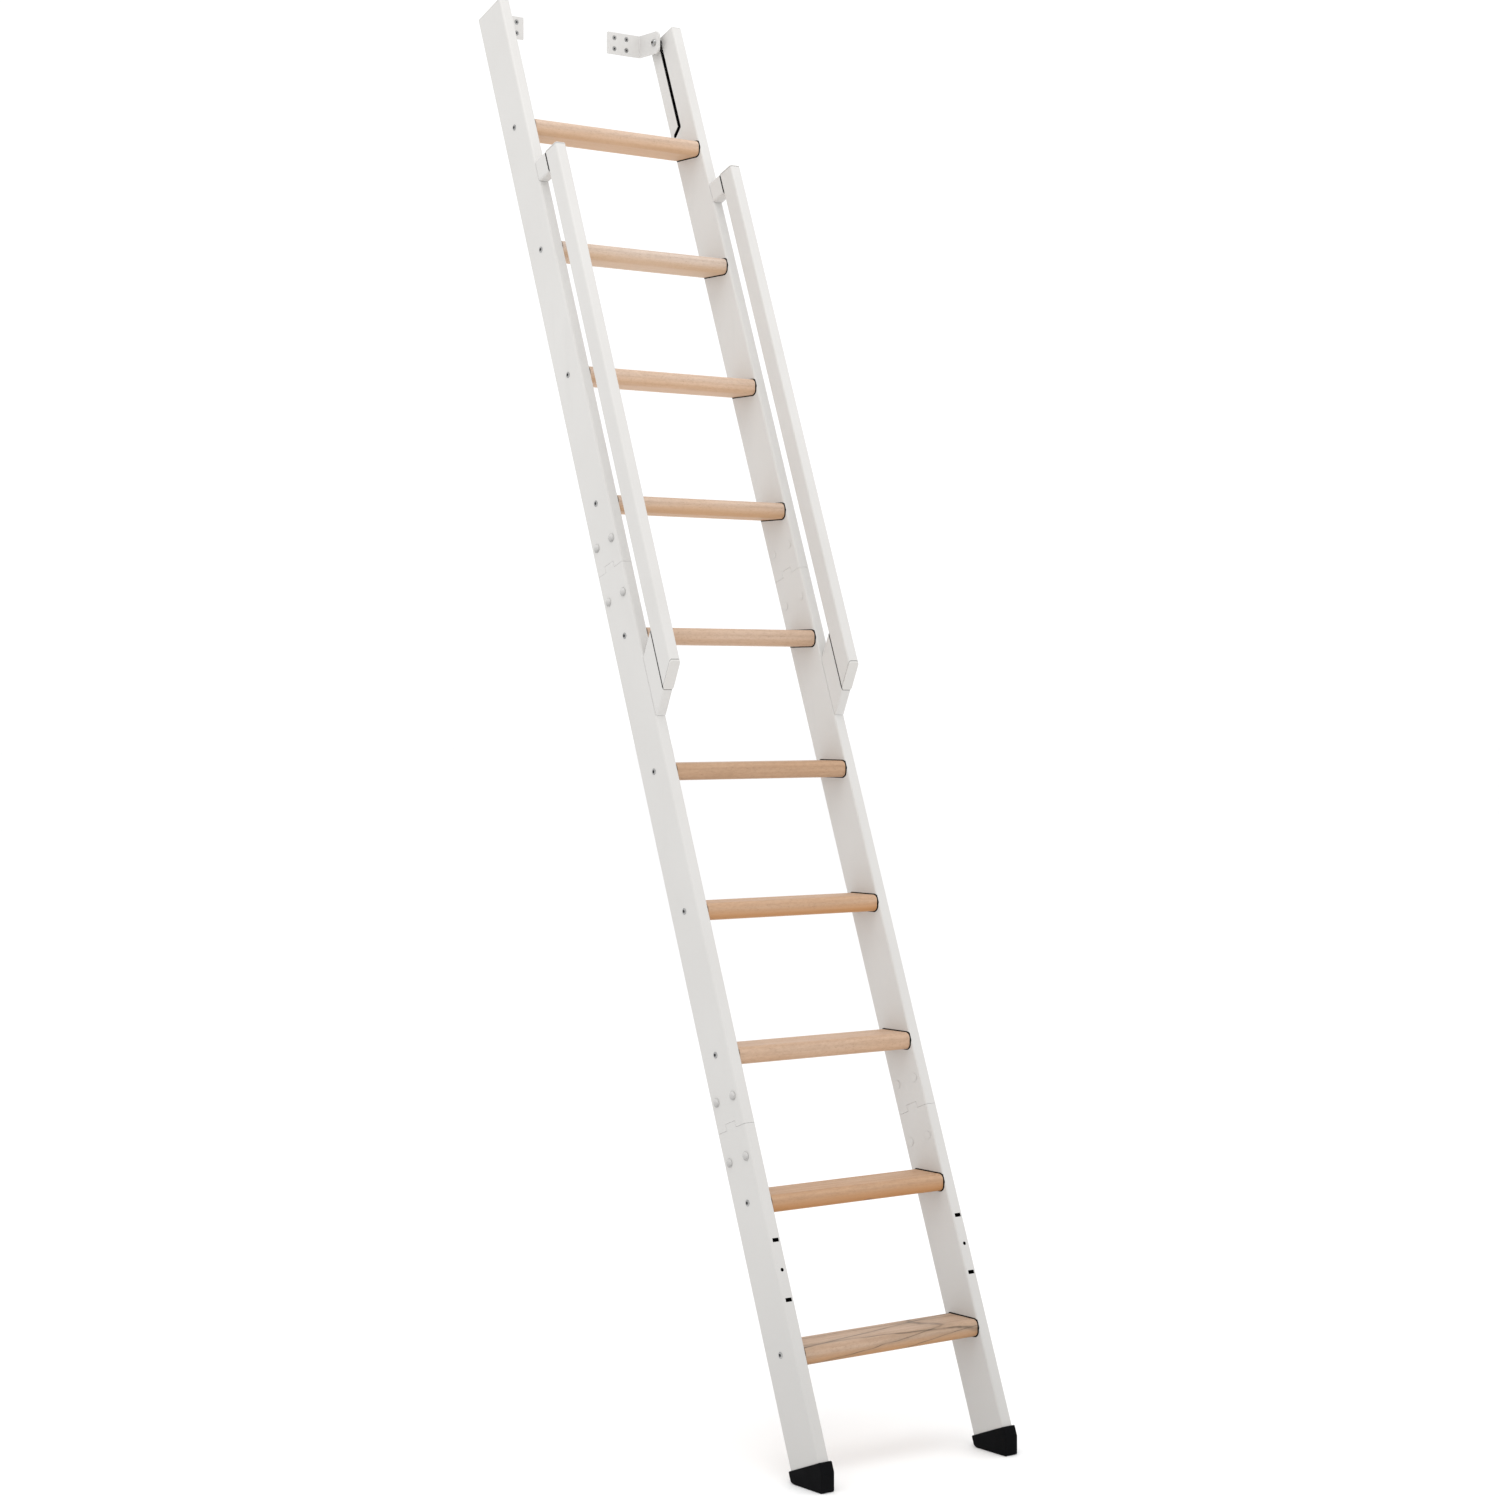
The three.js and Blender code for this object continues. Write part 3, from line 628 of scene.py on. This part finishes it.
def shoulders(side, seam):
    """Cutters on both sides of the tab."""
    x0, x1 = past_stile(side)
    over = seam + TAB_HEIGHT + 6
    return [box(x0, x1, -4, TAB_REAR, seam, over), box(x0, x1, TAB_FRONT, DEPTH + 4, seam, over)]


def pockets(side, first, last):
    """Recesses in the inner face that the tread ends are let into, a little larger than the boards."""
    x0, x1 = past_inner_wall(side, 1, POCKET_DEPTH)
    bodies = []
    for index in range(first, last + 1):
        low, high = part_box(f"tread_{index:02d}")
        middle = (low + high) / 2
        outline = tread_outline(index, POCKET)
        bodies.append(solid([[middle + Vector((x, a, b)) * MM for a, b in outline] for x in (x0, x1)]))
    # the recesses take the near-black inside material: painted shade of the gap round each tread end
    return inked(merged(*bodies))


def front_openings(side):
    """Two slots with a hole between them, in the front wall near the foot."""
    x, face = side * MIDDLE, DEPTH + 2
    a, b = FRONT_SLOT_HALF
    slots = [box(x - a, x + a, face - OPENING_DEPTH, face, s - b, s + b) for s in FRONT_SLOTS]
    r = FRONT_HOLE_RADIUS
    profile = ((0, 0), (0, r), (OPENING_DEPTH, r), (OPENING_DEPTH, 0))
    hole = lathe(profile, at(x, face - OPENING_DEPTH, FRONT_HOLE), FORWARD, 20)
    # inked: the cut walls take the near-black painted shade
    return inked(merged(*slots, hole))


def parking_slot(side):
    """The slot through the inner wall that the pivot runs in."""
    x0, x1 = past_inner_wall(side, 2, WALL + 2)
    # inked: the cut walls take the near-black painted shade
    return inked(solid([[at(x, v, s) for v, s in slot_outline()] for x in (x0, x1)]))


def stile(label, side):
    """The three sections of one stile, each with its seams, holes and pockets."""
    low, high = SEAMS["lower"], SEAMS["upper"]
    bottom = carve(
        stile_tube(side, FOOT, low + TAB_HEIGHT),
        merged(*stile_holes(side, [low], 9, 10), *shoulders(side, low), front_openings(side)),
        pockets(side, 9, 10),
    )
    middle = carve(
        stile_tube(side, low + SEAM_GAP, high + TAB_HEIGHT),
        merged(*stile_holes(side, [low, high], 5, 8), *shoulders(side, high), notch(side, low)),
        pockets(side, 5, 8),
    )
    top = carve(
        stile_tube(side, high + SEAM_GAP, TOP - CAP - 2 * CAP_GAP),
        merged(*stile_holes(side, [high], 1, 4), notch(side, high)),
        merged(parking_slot(side), pockets(side, 1, 4)),
    )
    for part, level in ((bottom, "bottom"), (middle, "middle"), (top, "top")):
        node = f"stile_{label}_{level}"
        piece(soften(part, EDGE), f"{node}_tube", "ladder", [COAT, INSIDE_PAINTED_SHADE], "powder_coat", node)


def stile_cap(label, side):
    """The cap on a stile's top end, with two feet that grip inside the tube."""
    x, under = side * MIDDLE, TOP - CAP
    plate = bar(x, DEPTH / 2, WIDTH, DEPTH, CORNER, under, TOP, 7)
    feet = [
        bar(x, (rear + front) / 2, PLUG_WIDTH, front - rear, PLUG_CORNER, under - 12, under - CAP_GAP)
        for rear, front in ((3, 21), (49, 77))
    ]
    node = f"stile_cap_{label}"
    moulding = merged(soften(plate, 0.6), *feet)
    piece(moulding, f"{node}_moulding", "ladder", [CAP_PLASTIC], "cap_plastic", node)


for label, side in SIDES:
    stile(label, side)
    stile_cap(label, side)

# ---------- splice bolts, tread screws ----------


def splice_bolt(node, side):
    """Domed bolt on the outer face, with a flat closing head on the inner face."""
    low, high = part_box(node)
    middle = (low + high) / 2
    outward = high.x if side > 0 else low.x
    reach = (high.x - low.x) / MM
    base = reach - 3.6
    closing_head = [(0.5, 0), (0.5, 6.7), (0.7, 7.1), (1.0, 7.1), (1.0, 4.0)]
    rim = [(base, 4.0), (base, 7.5), (base + 0.25, 7.75), (base + 0.7, 7.75), (base + 0.9, 7.5)]
    turns = [math.radians(t) for t in range(0, 90, 10)]
    dome = [(base + 0.9 + 2.7 * math.sin(a), 6.9 * math.cos(a)) for a in turns]
    start = Vector((outward - side * reach * MM, middle.y, middle.z))
    bm = lathe(closing_head + rim + dome + [(reach, 0)], start, (side, 0, 0), 36)
    for face in bm.faces:
        face.material_index = int(abs(face.calc_center_median().x) < INNER * MM)
    piece(bm, f"{node}_head", "ladder", [FASTENER, COAT], "painted_fastener", node)


def tread_screw(label, side, index):
    """Low button head on the stile's outer face, with a socket; the shank runs through the stile to its inner
    wall.
    """
    proud = 1.1
    start = at(side * (OUTER + proud), TREAD_V, tread_height(index))
    inward = (-side, 0, 0)
    head = [(0, 0), (0, 3.6), (0.12, 4.3), (0.45, 5.2), (0.8, 5.6), (1.05, 5.6), (1.05, 2.9)]
    shank = [(3.4, 2.9), (3.4, 2.0), (22.2, 2.0), (22.4, 1.8), (22.4, 0)]
    socket = lathe(((-1, 0), (-1, 3.1), (0.9, 2.8), (1.3, 0)), start, inward, 6)
    # the socket takes the near-black second material: painted shade
    screw = carve(lathe(head + shank, start, inward, 28), inked(socket))
    piece(screw, f"tread_screw_{label}_{index:02d}", "ladder", [ZINC, SHADE], "zinc")


for label, side in SIDES:
    for level in SEAMS:
        for place in ("upper_front", "upper_rear", "lower_front", "lower_rear"):
            splice_bolt(f"splice_bolt_{label}_{level}_{place}", side)
        frame["nodes"][f"splice_{label}_{level}"].material_slots[0].material = STEEL
    for index in range(1, TREADS + 1):
        tread_screw(label, side, index)

# ---------- treads ----------


def tread(index, material):
    """One board, with its ends rounded over a little."""
    low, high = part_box(f"tread_{index:02d}")
    middle = (low + high) / 2
    length = (high.x - low.x) / 2 / MM - 0.3
    spans = 12

    stations = [(-length, 1.2), (-length + 0.4, 0.45), (-length + 1.3, 0)]
    stations += [(-length + 1.3 + (2 * length - 2.6) * k / spans, 0) for k in range(1, spans)]
    stations += [(length - 1.3, 0), (length - 0.4, 0.45), (length, 1.2)]
    rings = [
        [middle + Vector((x, a, b)) * MM for a, b in tread_outline(index, -inset)] for x, inset in stations
    ]
    node = f"tread_{index:02d}"
    piece(solid(rings), f"{node}_board", "ladder", [material], "wood", node)


# lightness, warmth and share of the warm lower half (heartwood and painted shade) of each board, from the top
# tread down
BOARDS = (
    (0.64, 0.65, 0.60),
    (0.65, 0.34, 0.60),
    (0.65, 0.66, 0.45),
    (0.60, 0.65, 0.75),
    (0.585, 0.75, 0.30),
    (0.485, 1.20, 0.10),
    (0.53, 1.15, 1.00),
    (0.55, 0.92, 0.35),
    (0.495, 1.25, 1.00),
    (0.490, 0.90, 1.00),
)
# where a board has a knot, in metres from its middle
KNOTS = {3: (-0.095, -0.030, 0.010), 9: (0.022, -0.035, -0.0125)}
for index, board in enumerate(BOARDS, start=1):
    tread(index, beech(index, *board, KNOTS.get(index), index == TREADS))

# ---------- handrails ----------


def mitred(v, rise=0.0):
    """Height of the 45 degree line at the foot of the handrail, or of a line that far above it."""
    return MITRE + v + rise


def rail(label, side):
    """The tube with a cap on its level top end and one on its mitred foot."""
    x, v = side * MIDDLE, (RAIL_REAR + RAIL_FRONT) / 2
    depth = RAIL_FRONT - RAIL_REAR
    skin = CAP * math.sqrt(2)
    joint = 0.8
    outer, inner = section(depth)
    under = RAIL_TOP - CAP

    def tube_ring(outline, end):
        if end == "low":
            return [at(x + a, v + b, mitred(v + b, skin + joint)) for a, b in outline]
        return [at(x + a, v + b, under - 0.6) for a, b in outline]

    def mitred_ring(outline, rise):
        return [at(x + a, v + b, mitred(v + b, rise)) for a, b in outline]

    outside, inside = ([tube_ring(outline, end) for end in ("low", "high")] for outline in (outer, inner))
    # rim=1: the cut ends take the near-black inside material, painted shade of the joints under the caps
    tube = hollow(outside, inside, rim=1)
    node = f"handrail_{label}"
    piece(soften(tube, EDGE), f"{node}_tube", "ladder", [COAT, INSIDE_PAINTED_SHADE], "powder_coat", node)

    plate = solid([[at(x + a, v + b, s) for a, b in outer] for s in (under, RAIL_TOP)])
    plug = bar(x, v, PLUG_WIDTH, depth - 4.8, PLUG_CORNER, under - 14, under - CAP_GAP)
    node = f"handrail_cap_top_{label}"
    moulding = merged(soften(plate, 0.6), plug)
    piece(moulding, f"{node}_moulding", "ladder", [CAP_PLASTIC], "cap_plastic", node)

    plate = solid([mitred_ring(outer, rise) for rise in (0, skin)])
    filled = rounded(PLUG_WIDTH, depth - 4.8, PLUG_CORNER, 4)
    plug = solid([mitred_ring(filled, rise) for rise in (skin + CAP_GAP, 17)])
    node = f"handrail_cap_low_{label}"
    moulding = merged(soften(plate, 0.5), plug)
    piece(moulding, f"{node}_moulding", "ladder", [CAP_PLASTIC], "cap_plastic", node)


def standoffs(label, side):
    """The short tubes between stile and handrail: a level one at the top, a 45 degree one at the foot."""
    x = side * MIDDLE

    def level(v, outline):
        return [at(x + a, v, RAIL_TOP - 20 + b) for a, b in outline]

    def slanted(v, outline):
        return [at(x + a, v, mitred(v, 55.15 + b * math.sqrt(2))) for a, b in outline]

    for node, place, height, joint in (
        (f"handrail_standoff_top_{label}", level, 40, 1.5),
        (f"handrail_standoff_low_{label}", slanted, 78, 0.5),
    ):
        ends = (DEPTH + 0.5, RAIL_REAR - joint)
        outer, inner = section(height)
        # rim=1: the cut ends take the near-black inside material, painted shade of the joints at stile and
        # rail
        tube = hollow([place(v, outer) for v in ends], [place(v, inner) for v in ends], rim=1)
        piece(soften(tube, 0.5), f"{node}_tube", "ladder", [COAT, INSIDE_PAINTED_SHADE], "powder_coat", node)


for label, side in SIDES:
    rail(label, side)
    standoffs(label, side)

# ---------- boots ----------


def boot(label, side):
    """Moulded rubber boot: a rim round the stile, a grooved sole on the floor and a bevelled toe."""
    slope = math.tan(LEAN)
    toe, front, rear, rim = 72.5, 83.5, -2.5, 20
    skirt = 2.5

    def floor_at(v):
        return -v * slope

    facet = floor_at(toe) + (front - toe) / slope
    outline = [
        (rear, rim),
        (rear, floor_at(rear) + 3),
        (2, floor_at(2)),
        (toe, floor_at(toe)),
        (front, facet),
        (front, rim),
    ]
    x0, x1 = past_inner_wall(side, skirt, OUTER - INNER + skirt)
    body = soften(solid([[at(x, v, s) for v, s in outline] for x in (x0, x1)]), 2.2, 20, 4)
    socket = bar(side * MIDDLE, DEPTH / 2, WIDTH + 0.2, DEPTH + 0.2, CORNER, FOOT - 0.1, 40, 7)
    grooves = []
    for k in range(6):
        a = 10 + k * 10.5
        b = a + 3.5
        corners = (
            (a, floor_at(a) - 4),
            (b, floor_at(b) - 4),
            (b, floor_at(b) + 1.4),
            (a, floor_at(a) + 1.4),
        )
        grooves.append(solid([[at(x, v, s) for v, s in corners] for x in (x0 + 3, x1 - 3)]))
    moulding = carve(body, socket, merged(*grooves))
    piece(moulding, f"boot_{label}_moulding", "ladder", [RUBBER], "rubber", f"boot_{label}")


for label, side in SIDES:
    boot(label, side)

# ---------- wall brackets, pivots, wall screws ----------


def crossed(axis, reach, width, depth):
    """Cutter of a cross recess at the origin: a plus-shaped outline whose arms shorten with depth."""
    across = axis.orthogonal().normalized()
    other = axis.cross(across)
    half = width / 2
    rings = []
    for along, arm in ((-1.0, reach), (depth, 0.55 * reach)):
        quarter = [(arm, -half), (arm, half), (half, half)]
        outline = []
        for _ in range(4):
            outline += quarter
            quarter = [(-y, x) for x, y in quarter]
        rings.append([(axis * along + across * x + other * y) * MM for x, y in outline])
    return solid(rings)


def wall_screw():
    """Countersunk head with a cross recess, at the origin and pointing at the wall."""
    axis = Vector((0, 1, 0))
    profile = [(0, 0), (0, 4.3), (0.12, 4.75), (0.4, 4.8), (2.5, 2.5), (3.3, 2.5), (3.3, 0)]
    # the cross recess takes the near-black second material: painted shade
    return carve(lathe(profile, Vector(), axis, 30), inked(crossed(axis, 2.9, 1.5, 1.9)))


def round_corners(bm, chosen, radius, steps):
    """Rounds a plate's corners: the level edges whose two ends are both chosen."""
    level = [e for e in bm.edges if abs(e.verts[0].co.z - e.verts[1].co.z) < 1e-6]
    edges = [e for e in level if all(chosen(v.co / MM) for v in e.verts)]
    bmesh.ops.bevel(
        bm, geom=edges, offset=radius * MM, offset_type="OFFSET", segments=steps, profile=0.5, affect="EDGES"
    )


def bracket(label, side):
    """Flat steel bent to an L: a plate on the wall with four screws, and a leg that carries the pivot."""
    node = f"wall_bracket_{label}"
    low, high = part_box(node)
    thick, bend, near = 4, 5, 0.01
    leg = (high.x if side > 0 else low.x) / MM * side
    reach = (low.x if side > 0 else high.x) / MM * side
    back, nose = high.y / MM, low.y / MM
    bottom, top = low.z / MM, high.z / MM
    outline = [(reach, back), *arc(leg - bend, back - bend, bend, 90, 0, 8), (leg, nose), (leg - thick, nose)]
    outline += [*arc(leg - bend, back - bend, bend - thick, 0, 90, 4), (reach, back - thick)]
    bm = solid([[Vector((side * a * MM, b * MM, z * MM)) for a, b in outline] for z in (bottom, top)])
    round_corners(bm, lambda p: abs(p.y - nose) < near, 10, 8)
    round_corners(bm, lambda p: abs(p.x * side - reach) < near, 1.5, 4)
    bmesh.ops.recalc_face_normals(bm, faces=bm.faces)

    screws = [(leg - thick - inset, PIVOT.z / MM + rise) for inset in (30.5, 58.5) for rise in (10.5, -10.5)]
    cone = ((-1, 0), (-1, 6.3), (0, 5.3), (2.6, 2.7), (6, 2.7), (6, 0))
    holes = [lathe(cone, Vector((side * a, back - thick, z)) * MM, (0, 1, 0), 32) for a, z in screws]
    pin = ((0, 0), (0, 4.3), (8, 4.3), (8, 0))
    pin_hole = lathe(pin, Vector((side * (leg - 6) * MM, PIVOT.y, PIVOT.z)), (side, 0, 0), 32)
    bm = carve(bm, merged(*holes, pin_hole))
    piece(soften(bm, 0.4), f"{node}_plate", "wall_brackets", [BRACKET_COAT], "powder_coat", node)

    sunk = 0.35
    for number, (a, z) in enumerate(screws, start=1):
        screw = wall_screw()
        place = Vector((side * a, back - thick + sunk, z)) * MM
        bmesh.ops.translate(screw, vec=place, verts=screw.verts)
        piece(screw, f"wall_screw_{label}_{number}", "wall_brackets", [ZINC, SHADE], "zinc")


def pivot(label, side):
    """Button-headed bolt through the bracket's leg, and the spacer that keeps the stile off it."""
    node = f"pivot_bolt_{label}"
    low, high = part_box(node)
    reach = (high.x - low.x) / MM
    start = Vector((low.x if side > 0 else high.x, PIVOT.y, PIVOT.z))
    turns = [math.radians(t) for t in range(60, 0, -10)]
    dome = [(4.4 - 3.9 * math.sin(a), 7.0 * math.cos(a) ** 0.75) for a in turns]
    head = [(0, 0), (0, 2.9)] + dome + [(3.9, 7.0), (4.4, 6.7)]
    shank = [(4.4, 4.0), (reach - 0.6, 4.0), (reach, 3.4), (reach, 0)]
    bolt = lathe(head + shank, start, (side, 0, 0), 36)
    socket = lathe(((-1, 0), (-1, 2.9), (2.4, 2.9), (3.2, 0)), start, (side, 0, 0), 6)
    # the socket takes the near-black second material: painted shade
    piece(carve(bolt, inked(socket)), f"{node}_button", "pivots", [ZINC, SHADE], "zinc", node)

    node = f"pivot_spacer_{label}"
    low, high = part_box(node)
    length = (high.x - low.x) / MM
    ring = [(0, 6.6), (0.4, 7.0), (length - 0.4, 7.0), (length, 6.6), (length, 4.4), (0, 4.4), (0, 6.6)]
    spacer = lathe(ring, Vector((low.x, PIVOT.y, PIVOT.z)), (1, 0, 0), 36)
    bmesh.ops.remove_doubles(spacer, verts=spacer.verts, dist=1e-7)
    bmesh.ops.recalc_face_normals(spacer, faces=spacer.faces)
    # the spacer is wholly near black: its own dark colour and painted shade between the leg and the stile
    piece(spacer, f"{node}_ring", "pivots", [SHADE], "zinc", node)
    frame["nodes"][f"pivot_nut_{label}"].material_slots[0].material = ZINC


for label, side in SIDES:
    bracket(label, side)
    pivot(label, side)

# ---------- floor, light, camera ----------


def floor():
    """A wide pale floor, just under the boots."""
    reach, level = 60, -0.0004
    corners = [(x * reach, y * reach, level) for x, y in ((-1, -1), (1, -1), (1, 1), (-1, 1))]
    mesh = bpy.data.meshes.new("floor")
    mesh.from_pydata(corners, [], [(0, 1, 2, 3)])
    obj = bpy.data.objects.new("floor", mesh)
    bpy.context.scene.collection.objects.link(obj)
    g = Shader("pale_floor")
    cloud = g.noise(g.coords, 1.5, 3)
    color = g.mix(g.span(cloud, 0.3, 0.7), (0.93, 0.93, 0.93), (0.95, 0.95, 0.95))
    rough = g.span(cloud, 0.3, 0.7, 0.8, 0.9)
    mesh.materials.append(g.finish(color, rough, g.bump(cloud, 0.0002, 0.1), Specular_IOR_Level=0.1))


def surroundings(strength):
    """Even white light from all round."""
    world = bpy.data.worlds.new("studio")
    world.use_nodes = True
    background = world.node_tree.nodes["Background"]
    background.inputs["Color"].default_value = (1, 1, 1, 1)
    background.inputs["Strength"].default_value = strength
    bpy.context.scene.world = world


def overhead(location, target, size, power):
    """A square soft light that the camera doesn't see."""
    data = bpy.data.lights.new("overhead", "AREA")
    data.shape = "SQUARE"
    data.size = size
    data.energy = power
    obj = bpy.data.objects.new("overhead", data)
    obj.location = location
    obj.rotation_mode = "QUATERNION"
    obj.rotation_quaternion = (Vector(target) - Vector(location)).to_track_quat("-Z", "Y")
    obj.visible_camera = False
    bpy.context.scene.collection.objects.link(obj)


def viewpoint(location, azimuth, tilt):
    """A camera that looks along the azimuth, counted from +Y, with its tilt up in degrees."""
    camera = bpy.data.cameras.new("camera")
    camera.lens = 71.54
    camera.shift_y = -0.0333
    camera.sensor_width = 36
    camera.clip_start, camera.clip_end = 0.05, 300
    view = bpy.data.objects.new("camera", camera)
    view.location = location
    view.rotation_euler = (math.radians(90 + tilt), 0, math.radians(azimuth))
    bpy.context.scene.collection.objects.link(view)
    bpy.context.scene.camera = view


floor()
surroundings(1.08)
overhead((-1.2, -2.4, 7.5), (0, -0.6, 1.2), 4.5, 140)
viewpoint((-3.1336, -4.7607, 1.2618), -36.904, -0.044)
bpy.context.scene.view_settings.view_transform = "Standard"
